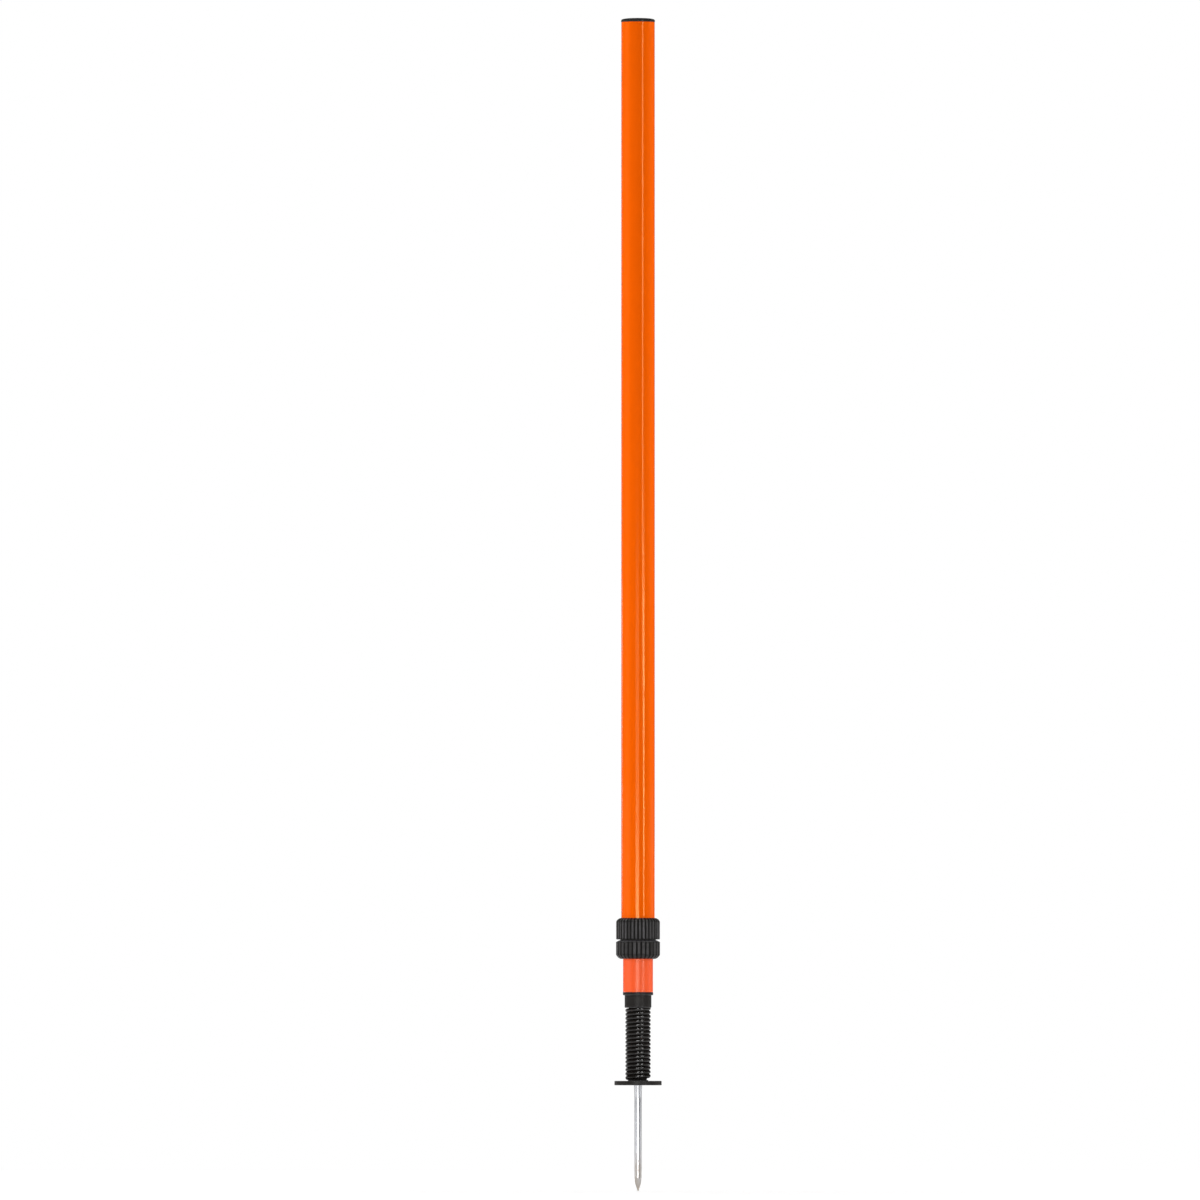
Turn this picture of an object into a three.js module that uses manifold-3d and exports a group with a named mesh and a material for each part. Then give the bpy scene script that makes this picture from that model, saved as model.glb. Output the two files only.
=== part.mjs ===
// Telescopic slalom pole with a twist clutch, a spring base and a ground spike, in millimetres, +Z up.
// The origin is the centre of the ground disc's underside, which lies at ground level.
// The spike points down from there, the tubes stand above it, and the front of the pole faces -Y.

import * as THREE from 'three';
import { mergeVertices } from 'three/addons/utils/BufferGeometryUtils.js';
import Module from 'manifold-3d';

const wasm = await Module();
wasm.setup();

// Clearances, shared by all pieces
const seatGap = 0.3; // along the axis, where one piece rests on the next
const fitGap = 0.15; // radial, where a piece is pushed or bonded into another
const slideGap = 0.2; // radial, where a piece slides or turns in another
const leadChamfer = 0.6; // on every end that is pushed into a tube or a coil
const cutOverrun = 1; // how far a cutter runs past the piece that it cuts

// Ground disc
const discDiameter = 45.2;
const discThickness = 4.2;
const discEdgeRadius = 0.6;
const hubShoulderDiameter = 19.4;
const hubShoulderHeight = 0.8;
const discStubLength = 10.4;
const spikeRecessDepth = 1.4;

// Spike, with its washer and nut
const spikeLength = 101.5;
const spikeDiameter = 6.8;
const spikeTipLength = 9.5;
const spikeFlareDiameter = 7.8;
const spikeFlareLength = 15;
const shankDiameter = 6;
const shankAboveNut = 2;
const washerDiameter = 12;
const washerThickness = 1.2;
const nutAcrossFlats = 10;
const nutThickness = 5;

// Spring
const springDiameter = 24.3;
const wireDiameter = 3.45;
const coilGap = 0.34; // between one turn of the wire and the next
const springTurns = 17.21;
const springStartAngle = THREE.MathUtils.degToRad(-195); // from +X, so the wire starts on the left

// Spring plug
const plugStubLength = 12;
const plugBodyDiameter = 25.6;
const plugBodyLength = 12;
const plugFlangeDiameter = 28.9;
const plugFlangeThickness = 2.7;
const plugSpigotLength = 36;
const plugWall = 2;
const plugCoreDepth = 8; // how far the hollow reaches down below the flange's top
const barbCount = 3;
const barbHeight = 3;
const barbPitch = 7;
const barbRise = 0.1; // how far a barb stands out from the spigot

// Tubes
const lowerTubeDiameter = 28.6;
const lowerTubeWall = 1.5;
const upperTubeDiameter = 32;
const upperTubeWall = 1.1;
const exposedLowerTube = 32.1; // between the plug's flange and the clutch, as the pole is set in the picture
const heightStroke = 700; // how far the upper tube can be drawn out from there
const guideHeadroom = 113.2; // left free above the guide in this setting

// Tube guide, in the lower tube's top end
const guideSleeveLength = 40;
const guideSpigotLength = 25;
const guideBandLength = 7;
const guideWaistDepth = 0.5;
const guideWall = 2;

// Clutch
const clutchDiameter = 41.9;
const nutDiameter = 42;
const ribDepth = 0.9;
const grooveWidth = 1.7;
const collarRibs = 36;
const nutRibs = 30;
const nutTurnedBy = THREE.MathUtils.degToRad(-3.5); // where tightening has left the nut's ribs
const spigotDiameter = 34;
const spigotLength = 8;
const threadGap = 0.4; // radial, between the spigot's core and the nut's bore
const collarFloor = 2.4;
const glideRingHeight = 4.3;
const tubeSocketDepth = 13.2;
const collarShoulderWidth = 4.7;
const collarShoulderHeight = 3.9;
const collarShoulderFullness = 1.65; // 2 is an ellipse, less is flatter
const notchGap = 0.8; // between the nut's inner edge and the collar
const nutTopRise = 1.6; // how far the nut's conical top rises to that edge
const nutTopCorner = 0.8;
const nutLipWidth = 0.4;
const nutFloor = 1.4;
const nutShoulderWidth = 4.5;
const nutShoulderHeight = 4.3;
const nutShoulderFullness = 1.5;

// Collet
const colletHeight = 8.6;
const colletLand = 2; // the cylindrical stretch above the taper
const colletTaper = 1.6; // how much the taper takes off its radius
const colletSplit = 2.2;
const colletSlot = 1.2;
const colletSlots = 6; // the split is one of them
const colletSlotShare = 0.65; // of the collet's height, for every slot but the split

// Top cap
const capOverhang = 0.2;
const capEdgeHeight = 0.7;
const capDomeHeight = 2.7;
const capDomeFullness = 2.2;
const capSpigotLength = 18;
const capWall = 1.8;

// Facets
const tubeSides = 48;
const rodSides = 32;
const coilSteps = 8;
const wireSides = 5;
const grooveSides = 8;
const domeSteps = 5;
const cornerSteps = 2;
const weldDistance = 0.0001;

// Radii that several pieces share
const lowerTubeOuter = lowerTubeDiameter / 2;
const lowerTubeInner = lowerTubeOuter - lowerTubeWall;
const upperTubeOuter = upperTubeDiameter / 2;
const upperTubeInner = upperTubeOuter - upperTubeWall;
const wireRadius = wireDiameter / 2;
const coilRadius = (springDiameter - wireDiameter) / 2;
const clampBore = lowerTubeOuter + fitGap;
const spigotRadius = spigotDiameter / 2;
const nutBore = spigotRadius + threadGap;
const shankRadius = shankDiameter / 2;
const shankBore = shankRadius + slideGap;

// The stubs fill the faceted coil: its chords pass nearer to the axis than its corners do.
const coilInnerRadius = coilRadius * Math.cos(Math.PI / coilSteps) - wireRadius * Math.cos(Math.PI / wireSides);
const stubRadius = coilInnerRadius - seatGap;

// Heights above the ground, from the disc up
const hubTop = discThickness + hubShoulderHeight;
const discStubTop = hubTop + discStubLength;
const washerBottom = discStubTop + seatGap;
const nutSeat = washerBottom + washerThickness + seatGap;
const shankTop = nutSeat + nutThickness + shankAboveNut;
const coilPitch = wireDiameter + coilGap;
const wireHalfHeight = wireRadius * Math.sin((2 * Math.PI) / wireSides);
const springStart = hubTop + seatGap + wireHalfHeight;
const springEnd = springStart + springTurns * coilPitch;
const plugBottom = springEnd + wireHalfHeight + seatGap;
const plugFlangeTop = plugBottom + plugBodyLength + plugFlangeThickness;
const nutBottom = plugFlangeTop + exposedLowerTube;
const nutEdgeHeight = nutFloor + colletHeight + spigotLength + 2 * seatGap - notchGap;
const nutHeight = nutEdgeHeight - nutTopRise;
const colletBottom = nutBottom + nutFloor + seatGap;
const collarBottom = nutBottom + nutEdgeHeight + notchGap;
const glideRingBottom = collarBottom + collarFloor + seatGap;
const glideRingTop = glideRingBottom + glideRingHeight;
const upperTubeBottom = glideRingTop + seatGap;
const collarHeight = upperTubeBottom - collarBottom + tubeSocketDepth;
const guideBottom = glideRingTop + seatGap + heightStroke;
const lowerTubeBottom = plugFlangeTop + seatGap;
const lowerTubeLength = guideBottom - seatGap - lowerTubeBottom;
const upperTubeTop = guideBottom + guideSleeveLength + guideHeadroom + capSpigotLength;
const capBottom = upperTubeTop + seatGap;

// Materials
const finish = (color, roughness, metalness) => new THREE.MeshStandardMaterial({ color, roughness, metalness });
const upperOrange = finish(0xfa6402, 0.35, 0);
const lowerOrange = finish(0xff622d, 0.35, 0);
const blackPlastic = finish(0x3c3a38, 0.5, 0);
const capPlastic = finish(0x222426, 0.25, 0);
const blackSteel = finish(0x2f2e2b, 0.45, 0.4);
const zincSteel = finish(0xc1c3c6, 0.3, 0.9);
const paleAcetal = finish(0xddd9cf, 0.45, 0);

// Revolves a profile of [radius, height] pairs about +Z. The outer side of the profile runs upwards.
// A profile that doesn't start on the axis is closed on itself.
function revolve(profile, sides = tubeSides) {
  const loop = profile[0][0] > 0 ? [...profile, profile[0]] : profile;
  const points = loop.map(([radius, height]) => new THREE.Vector2(radius, height));
  return new THREE.LatheGeometry(points, sides).rotateX(Math.PI / 2);
}

// A quarter of a superellipse, from [centre + width, base] on its side to [centre, base + height] on its top.
// A negative height turns it upside down.
function shoulder(centre, width, base, height, fullness, steps) {
  const points = [];
  for (let i = 0; i <= steps; i += 1) {
    const turn = ((i / steps) * Math.PI) / 2;
    const across = Math.cos(turn) ** (2 / fullness);
    const up = Math.sin(turn) ** (2 / fullness);
    points.push([centre + width * across, base + height * up]);
  }
  return points;
}

function toSolid(geometry) {
  const bare = geometry.clone();
  bare.deleteAttribute('normal');
  bare.deleteAttribute('uv');
  const welded = mergeVertices(bare, weldDistance);
  const vertProperties = welded.attributes.position.array;
  const triVerts = new Uint32Array(welded.index.array);
  return new wasm.Manifold(new wasm.Mesh({ numProp: 3, vertProperties, triVerts }));
}

function toGeometry(solid) {
  const { vertProperties, triVerts } = solid.getMesh();
  const indexed = new THREE.BufferGeometry();
  indexed.setAttribute('position', new THREE.BufferAttribute(vertProperties, 3));
  indexed.setIndex(new THREE.BufferAttribute(triVerts, 1));
  const geometry = indexed.toNonIndexed();
  geometry.computeVertexNormals();
  return geometry;
}

// Cuts evenly spaced round grooves into a revolved ring, which leaves the ribs that fingers grip.
function ribbed(ring, ribs, crestRadius, bottom, top) {
  const halfWidth = grooveWidth / 2;
  const grooveRadius = (halfWidth ** 2 + ribDepth ** 2) / (2 * ribDepth);
  const centreRadius = crestRadius - ribDepth + grooveRadius;
  const height = top - bottom + 2 * cutOverrun;
  const groove = new THREE.CylinderGeometry(grooveRadius, grooveRadius, height, grooveSides);
  groove.rotateX(Math.PI / 2);
  groove.translate(0, -centreRadius, (bottom + top) / 2);
  let solid = toSolid(ring);
  for (let i = 0; i < ribs; i += 1) {
    const cutter = groove.clone().rotateZ((i / ribs) * 2 * Math.PI);
    solid = solid.subtract(toSolid(cutter));
  }
  return toGeometry(solid);
}

// Ground disc: the plate, the shoulder under the last coil and the stub that the spring is screwed on.
function groundDisc() {
  const radius = discDiameter / 2;
  const inner = radius - discEdgeRadius;
  const upper = discThickness - discEdgeRadius;
  const recess = spikeFlareDiameter / 2 + slideGap;
  const lowerEdge = shoulder(inner, discEdgeRadius, discEdgeRadius, -discEdgeRadius, 2, cornerSteps);
  return revolve([
    [recess, 0],
    ...lowerEdge.reverse(),
    ...shoulder(inner, discEdgeRadius, upper, discEdgeRadius, 2, cornerSteps),
    [hubShoulderDiameter / 2, discThickness],
    [hubShoulderDiameter / 2, hubTop],
    [stubRadius, hubTop],
    [stubRadius, discStubTop - leadChamfer],
    [stubRadius - leadChamfer, discStubTop],
    [shankBore, discStubTop],
    [shankBore, spikeRecessDepth],
    [recess, spikeRecessDepth],
  ]);
}

// Spike: a pointed rod that widens into a flare under the disc and narrows to a shank through it.
function spike() {
  const rod = spikeDiameter / 2;
  const flare = spikeFlareDiameter / 2;
  const profile = [
    [0, -spikeLength],
    [rod, spikeTipLength - spikeLength],
  ];
  for (let i = 0; i <= cornerSteps; i += 1) {
    const along = i / cornerSteps;
    profile.push([rod + (flare - rod) * along ** 2, (along - 1) * spikeFlareLength]);
  }
  const headTop = spikeRecessDepth - seatGap;
  profile.push(
    [flare, headTop],
    [shankRadius, headTop],
    [shankRadius, shankTop - leadChamfer],
    [shankRadius - leadChamfer, shankTop],
    [0, shankTop],
  );
  return revolve(profile, rodSides);
}

function spikeWasher() {
  const radius = washerDiameter / 2;
  return revolve([
    [shankBore, 0],
    [radius, 0],
    [radius, washerThickness],
    [shankBore, washerThickness],
  ], rodSides);
}

function spikeNut() {
  const hexagon = new THREE.Shape();
  const cornerRadius = nutAcrossFlats / 2 / Math.cos(Math.PI / 6);
  for (let i = 0; i < 6; i += 1) {
    const turn = (i / 6) * 2 * Math.PI;
    hexagon[i ? 'lineTo' : 'moveTo'](cornerRadius * Math.cos(turn), cornerRadius * Math.sin(turn));
  }
  hexagon.closePath();
  hexagon.holes.push(new THREE.Path().absarc(0, 0, shankBore, 0, 2 * Math.PI, true));
  return new THREE.ExtrudeGeometry(hexagon, { depth: nutThickness, bevelEnabled: false, curveSegments: rodSides });
}

// The wire's section at one step of the helix: a flat side towards the axis and a corner away from it.
function wireSection(angle, height) {
  const outward = new THREE.Vector3(Math.cos(angle), Math.sin(angle), 0);
  const rise = coilPitch / (2 * Math.PI);
  const tangent = new THREE.Vector3(-Math.sin(angle) * coilRadius, Math.cos(angle) * coilRadius, rise).normalize();
  const upward = new THREE.Vector3().crossVectors(outward, tangent);
  const centre = outward.clone().multiplyScalar(coilRadius).setZ(height);
  const corners = [];
  for (let side = 0; side < wireSides; side += 1) {
    const turn = (side / wireSides) * 2 * Math.PI;
    const corner = centre.clone();
    corner.addScaledVector(outward, wireRadius * Math.cos(turn));
    corner.addScaledVector(upward, wireRadius * Math.sin(turn));
    corners.push(corner);
  }
  return { centre, corners };
}

// Spring: one wire wound as a right-handed helix, as sections from its lower end to its upper end.
function springSections() {
  const steps = Math.round(springTurns * coilSteps);
  const sections = [];
  for (let step = 0; step <= steps; step += 1) {
    const turned = (step / steps) * springTurns;
    const angle = springStartAngle + turned * 2 * Math.PI;
    sections.push(wireSection(angle, springStart + turned * coilPitch));
  }
  return sections;
}

function spring(sections) {
  const points = sections.flatMap((section) => section.corners);
  const index = [];
  const last = sections.length - 1;
  for (let step = 0; step < last; step += 1) {
    for (let side = 0; side < wireSides; side += 1) {
      const next = (side + 1) % wireSides;
      const here = step * wireSides;
      const there = here + wireSides;
      index.push(here + side, there + side, there + next);
      index.push(here + side, there + next, here + next);
    }
  }
  const startCentre = points.push(sections[0].centre) - 1;
  const endCentre = points.push(sections[last].centre) - 1;
  for (let side = 0; side < wireSides; side += 1) {
    const next = (side + 1) % wireSides;
    const end = last * wireSides;
    index.push(startCentre, side, next);
    index.push(endCentre, end + next, end + side);
  }
  const geometry = new THREE.BufferGeometry().setFromPoints(points);
  geometry.setIndex(index);
  geometry.computeVertexNormals();
  return geometry;
}

// The least distance between two turns, on points spread along the wire's corners and flat sides.
function leastSelfGap(sections) {
  const rings = [];
  for (let step = 0; step < sections.length - 1; step += 1) {
    const here = sections[step].corners;
    const there = sections[step + 1].corners;
    for (const along of [0, 0.25, 0.5, 0.75]) {
      const ring = here.map((corner, side) => corner.clone().lerp(there[side], along));
      rings.push(ring.flatMap((corner, side) => {
        const next = ring[(side + 1) % wireSides];
        return [corner, corner.clone().lerp(next, 0.5)];
      }));
    }
  }
  const ringsPerTurn = rings.length / springTurns;
  const nearest = Math.floor(ringsPerTurn / 2);
  const farthest = Math.ceil(ringsPerTurn * 1.5);
  let least = Infinity;
  for (let first = 0; first < rings.length; first += 1) {
    for (let second = first + nearest; second < Math.min(first + farthest, rings.length); second += 1) {
      for (const a of rings[first]) {
        for (const b of rings[second]) least = Math.min(least, a.distanceTo(b));
      }
    }
  }
  return least;
}

// Spring plug: the stub in the spring, the body, the flange under the tube and a barbed hollow spigot in it.
function springPlug() {
  const body = plugBodyDiameter / 2;
  const flange = plugFlangeDiameter / 2;
  const flangeTop = plugBodyLength + plugFlangeThickness;
  const spigot = lowerTubeInner - fitGap - barbRise;
  const spigotTop = flangeTop + plugSpigotLength;
  const core = spigot - plugWall;
  const profile = [
    [0, -plugStubLength],
    [stubRadius - leadChamfer, -plugStubLength],
    [stubRadius, leadChamfer - plugStubLength],
    [stubRadius, 0],
    [body, 0],
    [body, plugBodyLength],
    [flange - leadChamfer, plugBodyLength],
    [flange, plugBodyLength + leadChamfer],
    [flange, flangeTop],
    [spigot, flangeTop],
  ];
  for (let barb = 1; barb <= barbCount; barb += 1) {
    const height = flangeTop + barb * barbPitch;
    profile.push([spigot, height], [spigot + barbRise, height], [spigot, height + barbHeight]);
  }
  profile.push(
    [spigot, spigotTop - leadChamfer],
    [spigot - leadChamfer, spigotTop],
    [core, spigotTop],
    [core, flangeTop - plugCoreDepth],
    [0, flangeTop - plugCoreDepth],
  );
  return revolve(profile);
}

function tube(outer, inner, length) {
  return revolve([
    [inner, 0],
    [outer, 0],
    [outer, length],
    [inner, length],
  ]);
}

// Tube guide: a spigot in the lower tube and a sleeve whose two bands ride in the upper tube.
function tubeGuide() {
  const spigot = lowerTubeInner - fitGap;
  const sleeve = upperTubeInner - slideGap;
  const waist = sleeve - guideWaistDepth;
  const bore = spigot - guideWall;
  return revolve([
    [bore, -guideSpigotLength],
    [spigot - leadChamfer, -guideSpigotLength],
    [spigot, leadChamfer - guideSpigotLength],
    [spigot, 0],
    [sleeve, 0],
    [sleeve, guideBandLength],
    [waist, guideBandLength],
    [waist, guideSleeveLength - guideBandLength],
    [sleeve, guideSleeveLength - guideBandLength],
    [sleeve, guideSleeveLength - leadChamfer],
    [sleeve - leadChamfer, guideSleeveLength],
    [bore, guideSleeveLength],
  ]);
}

// Clutch collar: the ribbed ring round the upper tube's end, its floor and the spigot for the nut's thread.
function clutchCollar() {
  const crest = clutchDiameter / 2;
  const socket = upperTubeOuter + fitGap;
  const shoulderBase = collarHeight - collarShoulderHeight;
  const centre = crest - collarShoulderWidth;
  const ring = revolve([
    [clampBore, -spigotLength],
    [spigotRadius - leadChamfer, -spigotLength],
    [spigotRadius, leadChamfer - spigotLength],
    [spigotRadius, 0],
    [crest, 0],
    ...shoulder(centre, collarShoulderWidth, shoulderBase, collarShoulderHeight, collarShoulderFullness, domeSteps),
    [socket, collarHeight],
    [socket, collarFloor],
    [clampBore, collarFloor],
  ], 2 * collarRibs);
  return ribbed(ring, collarRibs, crest, 0, collarHeight);
}

// Clutch nut: the ribbed ring that screws on the spigot, with the cone inside that closes the collet.
function clutchNut() {
  const crest = nutDiameter / 2;
  const centre = crest - nutShoulderWidth;
  const cornerCentre = crest - nutTopCorner;
  const cornerBase = nutHeight - nutTopCorner;
  const coneTop = nutFloor + seatGap + colletHeight - colletLand;
  const underside = shoulder(
    centre, nutShoulderWidth, nutShoulderHeight, -nutShoulderHeight, nutShoulderFullness, domeSteps,
  );
  const ring = revolve([
    [clampBore + slideGap, 0],
    ...underside.reverse(),
    ...shoulder(cornerCentre, nutTopCorner, cornerBase, nutTopCorner, 2, cornerSteps),
    [nutBore + nutLipWidth, nutEdgeHeight],
    [nutBore, nutEdgeHeight],
    [nutBore, coneTop],
    [nutBore - colletTaper, nutFloor],
    [clampBore + slideGap, nutFloor],
  ], 2 * nutRibs);
  return ribbed(ring, nutRibs, crest, 0, nutHeight);
}

// Clutch collet: a tapered ring round the lower tube, split through at the back and slotted from below.
function clutchCollet() {
  const land = nutBore - seatGap;
  const toe = land - colletTaper;
  const cone = revolve([
    [clampBore, 0],
    [toe, 0],
    [land, colletHeight - colletLand],
    [land, colletHeight],
    [clampBore, colletHeight],
  ]);
  const reach = land + cutOverrun;
  let solid = toSolid(cone);
  for (let i = 0; i < colletSlots; i += 1) {
    const width = i ? colletSlot : colletSplit;
    const top = i ? colletSlotShare * colletHeight : colletHeight + cutOverrun;
    const slot = new THREE.BoxGeometry(width, reach, top + cutOverrun);
    slot.translate(0, reach / 2, (top - cutOverrun) / 2);
    slot.rotateZ((i / colletSlots) * 2 * Math.PI);
    solid = solid.subtract(toSolid(slot));
  }
  return toGeometry(solid);
}

// Glide ring: it lies on the collar's floor under the tube's end and guides the lower tube.
function glideRing() {
  const outer = upperTubeOuter + fitGap - slideGap;
  const chamfer = leadChamfer / 2;
  return revolve([
    [clampBore + chamfer, 0],
    [outer, 0],
    [outer, glideRingHeight],
    [clampBore + chamfer, glideRingHeight],
    [clampBore, glideRingHeight - chamfer],
    [clampBore, chamfer],
  ]);
}

// Top cap: a low dome with a short straight edge, over a hollow spigot in the tube.
function topCap() {
  const radius = upperTubeOuter + capOverhang;
  const spigot = upperTubeInner - fitGap;
  const hollow = spigot - capWall;
  return revolve([
    [0, -seatGap],
    [hollow, -seatGap],
    [hollow, -capSpigotLength],
    [spigot - leadChamfer, -capSpigotLength],
    [spigot, leadChamfer - capSpigotLength],
    [spigot, 0],
    [radius, 0],
    ...shoulder(0, radius, capEdgeHeight, capDomeHeight, capDomeFullness, domeSteps),
  ]);
}

function addPart(group, name, geometry, material, height) {
  const mesh = new THREE.Mesh(geometry, material);
  mesh.name = name;
  mesh.position.z = height;
  group.add(mesh);
  return mesh;
}

const coil = springSections();
console.log(`spring: least gap to itself ${leastSelfGap(coil).toFixed(3)} mm`);

const groundEnd = new THREE.Group();
addPart(groundEnd, 'ground_disc', groundDisc(), blackPlastic, 0);
addPart(groundEnd, 'spike', spike(), zincSteel, 0);
addPart(groundEnd, 'spike_washer', spikeWasher(), zincSteel, washerBottom);
addPart(groundEnd, 'spike_nut', spikeNut(), zincSteel, nutSeat);

const lowerPole = new THREE.Group();
addPart(lowerPole, 'spring_plug', springPlug(), blackPlastic, plugBottom);
addPart(lowerPole, 'lower_tube', tube(lowerTubeOuter, lowerTubeInner, lowerTubeLength), lowerOrange, lowerTubeBottom);
addPart(lowerPole, 'tube_guide', tubeGuide(), paleAcetal, guideBottom);

const upperPole = new THREE.Group();
const upperTubeLength = upperTubeTop - upperTubeBottom;
addPart(upperPole, 'upper_tube', tube(upperTubeOuter, upperTubeInner, upperTubeLength), upperOrange, upperTubeBottom);
addPart(upperPole, 'top_cap', topCap(), capPlastic, capBottom);
addPart(upperPole, 'glide_ring', glideRing(), paleAcetal, glideRingBottom);

const clutch = new THREE.Group();
addPart(clutch, 'clutch_collar', clutchCollar(), blackPlastic, collarBottom);
addPart(clutch, 'clutch_collet', clutchCollet(), paleAcetal, colletBottom);
addPart(clutch, 'clutch_nut', clutchNut(), blackPlastic, nutBottom).rotation.z = nutTurnedBy;
upperPole.add(clutch);

const slalomPole = new THREE.Group();
addPart(slalomPole, 'spring', spring(coil), blackSteel, 0);
slalomPole.add(groundEnd, lowerPole, upperPole);

export default slalomPole;
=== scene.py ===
"""Looks of a telescopic slalom pole: two tubes, a ribbed twist clutch, a coil spring base and a spike.

All lengths are in metres. The origin is the centre of the ground disc's underside, +Z runs up the pole and
-Y is its front. The pieces are surfaces worked out round the pole's axis and round the spring's wire.
"""

import math

import bpy
import numpy as np
from bpy.props import FloatProperty, FloatVectorProperty, IntProperty, PointerProperty
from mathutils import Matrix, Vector


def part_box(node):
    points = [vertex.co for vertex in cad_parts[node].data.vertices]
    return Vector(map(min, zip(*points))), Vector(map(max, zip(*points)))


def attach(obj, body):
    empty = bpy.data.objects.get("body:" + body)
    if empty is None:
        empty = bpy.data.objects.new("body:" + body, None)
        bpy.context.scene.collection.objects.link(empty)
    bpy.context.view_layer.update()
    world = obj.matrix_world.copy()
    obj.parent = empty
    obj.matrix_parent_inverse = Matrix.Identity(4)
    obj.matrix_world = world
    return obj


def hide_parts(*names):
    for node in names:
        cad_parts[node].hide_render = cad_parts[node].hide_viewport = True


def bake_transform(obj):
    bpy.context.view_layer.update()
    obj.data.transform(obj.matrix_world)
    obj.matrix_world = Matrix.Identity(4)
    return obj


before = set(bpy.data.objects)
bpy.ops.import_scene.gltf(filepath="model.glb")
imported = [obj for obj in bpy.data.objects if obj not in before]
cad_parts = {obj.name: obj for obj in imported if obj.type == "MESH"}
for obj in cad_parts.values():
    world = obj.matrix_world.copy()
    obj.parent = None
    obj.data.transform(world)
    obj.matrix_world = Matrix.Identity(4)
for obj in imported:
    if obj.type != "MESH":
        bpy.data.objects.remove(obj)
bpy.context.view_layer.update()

bl_info = {
    "name": "Slalom Pole",
    "version": (1, 0, 0),
    "blender": (4, 5, 0),
    "location": "View3D > Sidebar > Slalom Pole",
    "description": "Adds the finished pieces of a telescopic slalom pole to its packed frame",
    "category": "Add Mesh",
}

WIRE_CHART = "along_wire"  # the UV map that runs round and along the spring's wire
UNDOABLE = {"REGISTER", "UNDO"}
FULL_TURN = 2 * math.pi
SMOOTH_ANGLE = math.radians(42)
ARC_STEPS = 5  # faces across a small rounded edge
RIB_COLUMNS = 14  # columns of faces for each rib of the clutch

# Lengths that several pieces share
TINY = 0.000001
SUPPORT = 0.00012  # how far beyond a rounded edge the flat beside it gets its own row of points
SMALL = 0.0002  # rounding of small edges
LEAD_IN = 0.0006  # chamfer at the end of a spigot, a stub or the shank
SEAT_GAP = 0.0003  # clearance along the axis between a piece and its seat
RECESS = 0.0014  # depth of the hollow under the ground disc that takes the spike's top end
LONGEST_SIDE = 0.0018  # of a ribbed ring's profile


def heights(node):
    """Lowest and highest z of a CAD node."""
    low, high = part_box(node)
    return low.z, high.z


def added(name, data):
    """A new object in the scene, at the origin."""
    made = bpy.data.objects.new(name, data)
    bpy.context.scene.collection.objects.link(made)
    return made


# Settings


def setting(kind, **fixed):
    """What makes one kind of setting from a name, a description and a default."""
    return lambda name, about, default: kind(name=name, description=about, default=default, **fixed)


length = setting(FloatProperty, min=0, unit="LENGTH", precision=5)  # in metres
turn = setting(FloatProperty, unit="ROTATION")  # in radians
number = setting(FloatProperty, min=0)
count = setting(IntProperty, min=3)
colour = setting(FloatVectorProperty, size=3, min=0, max=1, subtype="COLOR")  # in linear light


class SlalomPoleTubes(bpy.types.PropertyGroup):
    """Sizes of the two tubes and the cap."""

    upper_diameter: length("Upper tube", "Outer diameter of the upper tube", 0.032)
    upper_wall: length("Upper wall", "Wall of the upper tube", 0.0011)
    lower_diameter: length("Lower tube", "Outer diameter of the lower tube", 0.0286)
    lower_wall: length("Lower wall", "Wall of the lower tube", 0.0015)
    tube_edge: length("Tube edge", "Rounding of the sawn tube ends", 0.0002)
    cap_overhang: length("Cap overhang", "How far the cap stands out from the upper tube", 0.0002)
    cap_edge: length("Cap edge", "Height of the cap's straight edge", 0.0007)
    cap_fullness: number("Cap fullness", "Roundness of the cap's dome, where 2 is an ellipse", 3.4)
    cap_wall: length("Cap wall", "Wall of the spigot inside the tube", 0.0018)
    fit: length("Fit", "Radial play of a piece that is pushed into a tube", 0.00015)


class SlalomPoleClutch(bpy.types.PropertyGroup):
    """Sizes of the ribbed collar and nut."""

    collar_diameter: length("Collar", "Diameter over the collar's ribs", 0.0419)
    nut_diameter: length("Nut", "Diameter over the nut's ribs", 0.042)
    collar_ribs: count("Collar ribs", "Ribs on the collar", 36)
    nut_ribs: count("Nut ribs", "Ribs on the nut", 30)
    nut_turned: turn("Nut turned", "Where tightening has left the nut's ribs", math.radians(-3.5))
    rib_depth: length("Rib depth", "Depth of the grooves between the ribs", 0.0009)
    groove_width: length("Groove width", "Width of the grooves between the ribs", 0.0017)
    lip: length("Lip", "Width over which a groove's lip is rounded", 0.0004)
    bore: length("Bore", "Radius of the hole that the lower tube runs in", 0.01445)
    thread_radius: length("Thread core", "Radius of the spigot under its thread", 0.017)
    thread_pitch: length("Thread pitch", "Climb of the clutch's thread in one turn", 0.003)
    thread_depth: length("Thread depth", "Height of the thread's ridge", 0.00034)
    spigot: length("Spigot", "Length of the collar's threaded spigot", 0.008)


class SlalomPoleSpring(bpy.types.PropertyGroup):
    """Sizes of the coil spring and of what it is screwed on."""

    diameter: length("Spring", "Outer diameter of the spring", 0.0243)
    pitch: length("Pitch", "Climb of the wire in one turn", 0.00379)
    wire: length("Wire", "Diameter of the wire", 0.003785)
    start: length("Start", "Height of the wire's middle at turn 0", 0.006941)
    start_angle: turn("Start angle", "Where turn 0 lies, from +X", math.radians(-195))
    first: FloatProperty(name="First", description="Turn where the wire begins", default=-0.2)
    split: number("Split", "Turn where the lower wire meets the upper one, at the back", 8.79167)
    last: number("Last", "Turn where the wire ends, on the right", 17.55)
    ground: length("Ground", "Clearance over and under the spring's ground ends", 0.00002)
    stub: length("Stub", "Radius of the moulded stubs in the spring's ends", 0.009)
    seat: length("Seat", "Clearance between the wire and its groove in a stub", 0.00008)


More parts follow.
